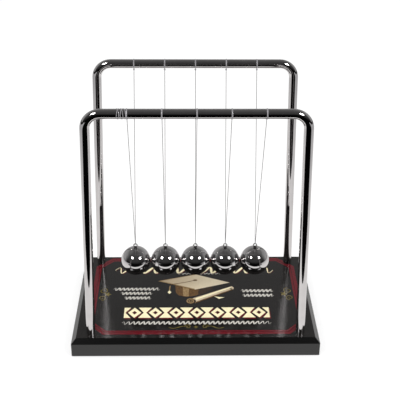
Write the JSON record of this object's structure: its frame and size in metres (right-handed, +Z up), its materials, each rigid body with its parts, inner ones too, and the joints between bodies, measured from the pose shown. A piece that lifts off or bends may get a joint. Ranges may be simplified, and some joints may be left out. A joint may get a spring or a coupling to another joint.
{
  "type": "newtons cradle",
  "caption": "Newton's cradle: a row of steel balls hung on V-shaped lines between two bent chrome frames on a black lacquered board.",
  "frame": {"origin": "on the surface the cradle stands on, under the middle of the base board", "axes": "+X to the right along the row of balls, +Y to the back, +Z up"},
  "size_m": [0.18, 0.112, 0.1913],
  "materials": {
    "base_lacquer": "black high-gloss lacquer on fibreboard",
    "frame_chrome": "polished chrome plate",
    "ball_chrome": "mirror polished",
    "eye_steel": "bright plated wire",
    "nylon_line": "clear nylon monofilament",
    "screw_steel": "zinc plated",
    "foot_rubber": "matt black pad"
  },
  "bodies": {
    "stand": {"base_board": "base_lacquer", "front_frame": "frame_chrome", "rear_frame": "frame_chrome", "frame_screws": "screw_steel", "screw_washers": "screw_steel", "foot_front_left": "foot_rubber", "foot_front_right": "foot_rubber", "foot_rear_left": "foot_rubber", "foot_rear_right": "foot_rubber", "front_loop_1": "nylon_line", "front_loop_2": "nylon_line", "front_loop_3": "nylon_line", "front_loop_4": "nylon_line", "front_loop_5": "nylon_line", "rear_loop_1": "nylon_line", "rear_loop_2": "nylon_line", "rear_loop_3": "nylon_line", "rear_loop_4": "nylon_line", "rear_loop_5": "nylon_line"},
    "pendulum_1": {"ball_1": "ball_chrome", "ball_eye_1": "eye_steel", "string_1": "nylon_line", "front_knot_1": "nylon_line", "rear_knot_1": "nylon_line"},
    "pendulum_2": {"ball_2": "ball_chrome", "ball_eye_2": "eye_steel", "string_2": "nylon_line", "front_knot_2": "nylon_line", "rear_knot_2": "nylon_line"},
    "pendulum_3": {"ball_3": "ball_chrome", "ball_eye_3": "eye_steel", "string_3": "nylon_line", "front_knot_3": "nylon_line", "rear_knot_3": "nylon_line"},
    "pendulum_4": {"ball_4": "ball_chrome", "ball_eye_4": "eye_steel", "string_4": "nylon_line", "front_knot_4": "nylon_line", "rear_knot_4": "nylon_line"},
    "pendulum_5": {"ball_5": "ball_chrome", "ball_eye_5": "eye_steel", "string_5": "nylon_line", "front_knot_5": "nylon_line", "rear_knot_5": "nylon_line"}
  },
  "joints": [
    {"name": "ball_1_swing", "type": "hinge", "parent": "stand", "child": "pendulum_1", "pos_m": [-0.045, 0, 0.18368], "axis": [0, 1, 0], "range_deg": [-0.13, 60]},
    {"name": "ball_2_swing", "type": "hinge", "parent": "stand", "child": "pendulum_2", "pos_m": [-0.0225, 0, 0.18368], "axis": [0, 1, 0], "range_deg": [-0.13, 0.13]},
    {"name": "ball_3_swing", "type": "hinge", "parent": "stand", "child": "pendulum_3", "pos_m": [0, 0, 0.18368], "axis": [0, 1, 0], "range_deg": [-0.13, 0.13]},
    {"name": "ball_4_swing", "type": "hinge", "parent": "stand", "child": "pendulum_4", "pos_m": [0.0225, 0, 0.18368], "axis": [0, 1, 0], "range_deg": [-0.13, 0.13]},
    {"name": "ball_5_swing", "type": "hinge", "parent": "stand", "child": "pendulum_5", "pos_m": [0.045, 0, 0.18368], "axis": [0, 1, 0], "range_deg": [-60, 0.13]}
  ]
}
